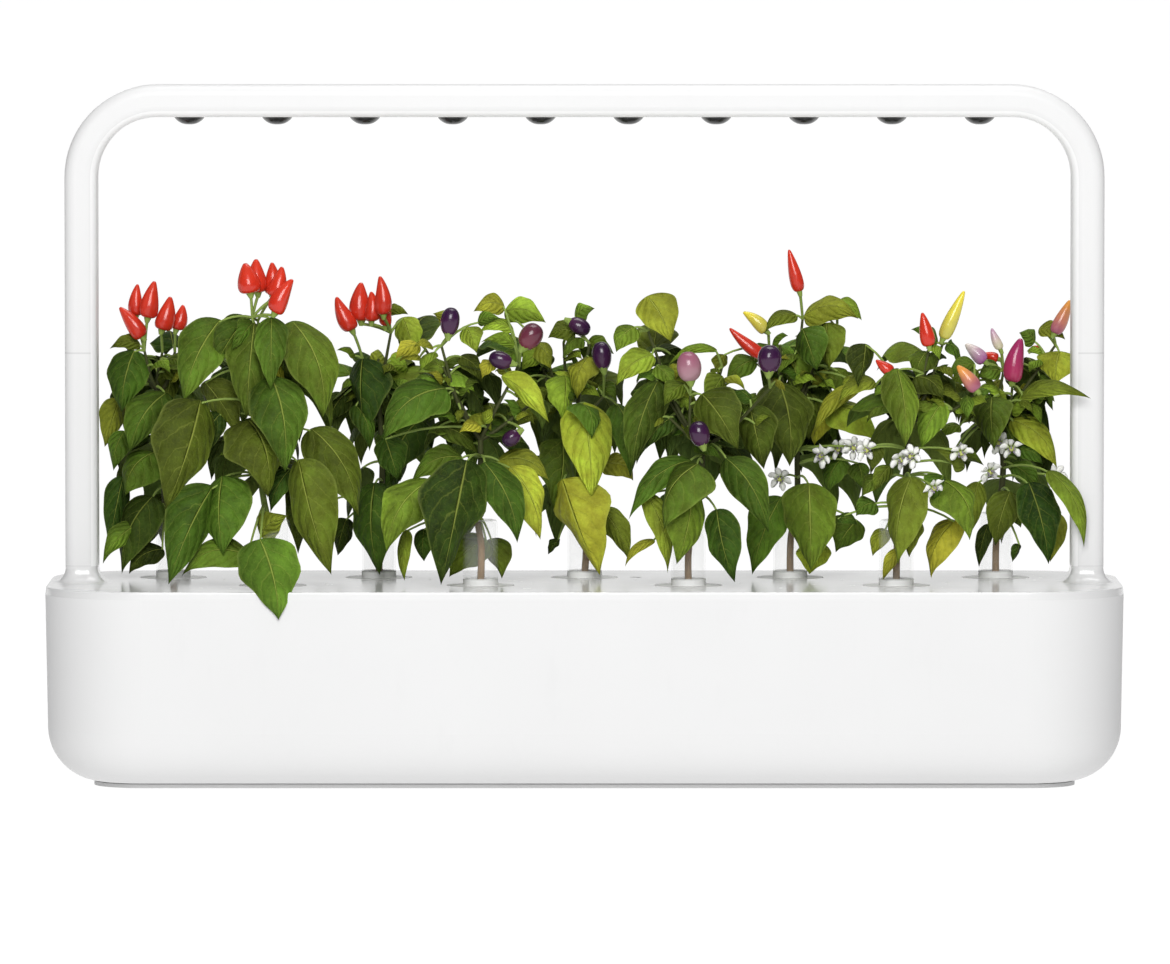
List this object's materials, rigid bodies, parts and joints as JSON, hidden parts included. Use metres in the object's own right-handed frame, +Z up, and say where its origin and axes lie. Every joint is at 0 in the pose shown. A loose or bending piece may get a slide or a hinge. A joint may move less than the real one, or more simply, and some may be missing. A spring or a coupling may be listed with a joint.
{
  "type": "countertop hydroponic garden",
  "caption": "Long white water tank whose lid carries pepper plants in drop-in pods in staggered rows, under a lamp arch with spot lenses on lift-off legs.",
  "frame": {"origin": "middle of the base on the worktop, under the centre of the tank", "axes": "+Z up, X along the garden, -Y towards its front"},
  "size_m": [0.612, 0.185, 0.397],
  "materials": {
    "white_gloss": "gloss white moulding",
    "white_matte": "satin white moulding",
    "grey_plastic": "matt grey moulding",
    "dark_rubber": "matt",
    "black_plastic": "matt black",
    "circuit_board": "solder mask",
    "lead_sheath": "satin",
    "contact_brass": "bright",
    "float_plastic": "gloss",
    "lens_plastic": "dark tinted optic",
    "led_chip": "phosphor",
    "spreader_aluminium": "mill",
    "steel": "plated",
    "growing_medium": "damp sponge",
    "frosted_plastic": "clear frosted",
    "foliage": "soft leaf"
  },
  "bodies": {
    "tank": {"tank_shell": "white_gloss", "foot_plate": "grey_plastic", "rubber_feet": "dark_rubber"},
    "lid_body": {"lid": "white_gloss", "dry_box_cover": "white_matte", "cover_screws": "steel", "power_inlet": "black_plastic", "timer_board": "circuit_board", "lid_leads": "lead_sheath", "lid_pins": "contact_brass"},
    "float": {"water_float": "float_plastic"},
    "extensions": {"left_extension": "white_gloss", "right_extension": "white_gloss", "extension_strips": "white_gloss", "extension_rods": "contact_brass"},
    "lamp": {"lamp_arch": "white_gloss", "arch_strip": "white_gloss", "arch_pads": "contact_brass", "lamp_leads": "lead_sheath", "led_lenses": "lens_plastic", "led_chips": "led_chip", "led_board": "circuit_board", "heat_spreader": "spreader_aluminium", "board_screws": "steel"},
    "pod_1": {"pod_1_cup": "white_matte", "pod_1_medium": "growing_medium", "pod_1_sleeve": "frosted_plastic", "pod_1_plant": "foliage"},
    "pod_2": {"pod_2_cup": "white_matte", "pod_2_medium": "growing_medium", "pod_2_sleeve": "frosted_plastic", "pod_2_plant": "foliage"},
    "pod_3": {"pod_3_cup": "white_matte", "pod_3_medium": "growing_medium", "pod_3_sleeve": "frosted_plastic", "pod_3_plant": "foliage"},
    "pod_4": {"pod_4_cup": "white_matte", "pod_4_medium": "growing_medium", "pod_4_sleeve": "frosted_plastic", "pod_4_plant": "foliage"},
    "pod_5": {"pod_5_cup": "white_matte", "pod_5_medium": "growing_medium", "pod_5_sleeve": "frosted_plastic", "pod_5_plant": "foliage"},
    "pod_6": {"pod_6_cup": "white_matte", "pod_6_medium": "growing_medium", "pod_6_sleeve": "frosted_plastic", "pod_6_plant": "foliage"},
    "pod_7": {"pod_7_cup": "white_matte", "pod_7_medium": "growing_medium", "pod_7_sleeve": "frosted_plastic", "pod_7_plant": "foliage"},
    "pod_8": {"pod_8_cup": "white_matte", "pod_8_medium": "growing_medium", "pod_8_sleeve": "frosted_plastic", "pod_8_plant": "foliage"},
    "pod_9": {"pod_9_cup": "white_matte", "pod_9_medium": "growing_medium", "pod_9_sleeve": "frosted_plastic", "pod_9_plant": "foliage"}
  },
  "joints": [
    {"name": "lid_lift", "type": "slide", "parent": "tank", "child": "lid_body", "axis": [0, 0, 1], "range_m": [0, 0.07]},
    {"name": "float_rise", "type": "slide", "parent": "lid_body", "child": "float", "axis": [0, 0, 1], "range_m": [0, 0.034]},
    {"name": "extension_lift", "type": "slide", "parent": "lid_body", "child": "extensions", "axis": [0, 0, 1], "range_m": [0, 0.03]},
    {"name": "lamp_lift", "type": "slide", "parent": "extensions", "child": "lamp", "axis": [0, 0, 1], "range_m": [0, 0.03]},
    {"name": "pod_1_lift", "type": "slide", "parent": "lid_body", "child": "pod_1", "axis": [0, 0, 1], "range_m": [0, 0.062]},
    {"name": "pod_2_lift", "type": "slide", "parent": "lid_body", "child": "pod_2", "axis": [0, 0, 1], "range_m": [0, 0.062]},
    {"name": "pod_3_lift", "type": "slide", "parent": "lid_body", "child": "pod_3", "axis": [0, 0, 1], "range_m": [0, 0.062]},
    {"name": "pod_4_lift", "type": "slide", "parent": "lid_body", "child": "pod_4", "axis": [0, 0, 1], "range_m": [0, 0.062]},
    {"name": "pod_5_lift", "type": "slide", "parent": "lid_body", "child": "pod_5", "axis": [0, 0, 1], "range_m": [0, 0.062]},
    {"name": "pod_6_lift", "type": "slide", "parent": "lid_body", "child": "pod_6", "axis": [0, 0, 1], "range_m": [0, 0.062]},
    {"name": "pod_7_lift", "type": "slide", "parent": "lid_body", "child": "pod_7", "axis": [0, 0, 1], "range_m": [0, 0.062]},
    {"name": "pod_8_lift", "type": "slide", "parent": "lid_body", "child": "pod_8", "axis": [0, 0, 1], "range_m": [0, 0.062]},
    {"name": "pod_9_lift", "type": "slide", "parent": "lid_body", "child": "pod_9", "axis": [0, 0, 1], "range_m": [0, 0.062]}
  ]
}
